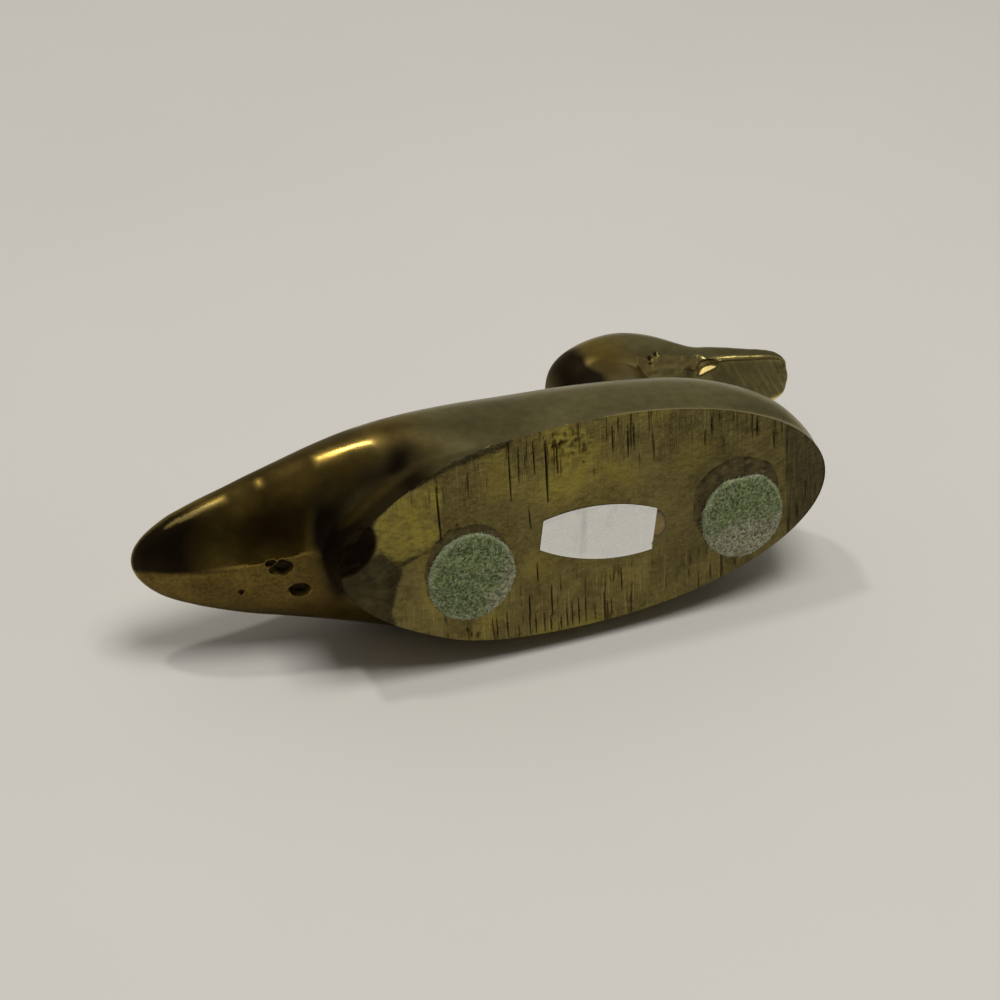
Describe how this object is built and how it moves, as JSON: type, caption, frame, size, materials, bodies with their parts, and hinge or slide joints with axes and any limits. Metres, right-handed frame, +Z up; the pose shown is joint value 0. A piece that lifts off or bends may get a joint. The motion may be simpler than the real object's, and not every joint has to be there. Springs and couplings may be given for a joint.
{
  "type": "brass duck figurine",
  "caption": "Hollow cast brass duck ornament with a separate head, a flat ground sole, felt dots to stand on and a bare foil label underneath.",
  "frame": {"origin": "on the surface that the duck stands on, under the middle of its length and width", "axes": "+X from the tail to the bill, +Y to the duck's left, +Z up"},
  "size_m": [0.1652, 0.049, 0.0803],
  "materials": {
    "cast_brass": "old cast brass, polished then tarnished to a dark olive gloss",
    "ground_brass": "ground flat across, scratched, pitted and tarnished",
    "brazing_alloy": "brazed and ground flush",
    "plain_steel": "plain turned steel, dulled",
    "green_felt": "pressed grey-green felt with pale worn fibres",
    "brown_glue": "old brown contact glue, smeared and beaded",
    "silver_foil": "thin silver foil, creased, with worn edges",
    "amber_glue": "dried amber glue"
  },
  "bodies": {
    "root": {"body_casting": "cast_brass", "head_casting": "cast_brass", "sole_plate": "ground_brass", "sole_braze_seam": "brazing_alloy", "neck_screw": "plain_steel", "neck_washer": "plain_steel", "felt_pad_rear": "green_felt", "felt_pad_front": "green_felt", "pad_glue_rear": "brown_glue", "pad_glue_front": "brown_glue", "foil_label": "silver_foil", "label_glue": "amber_glue"}
  },
  "joints": []
}
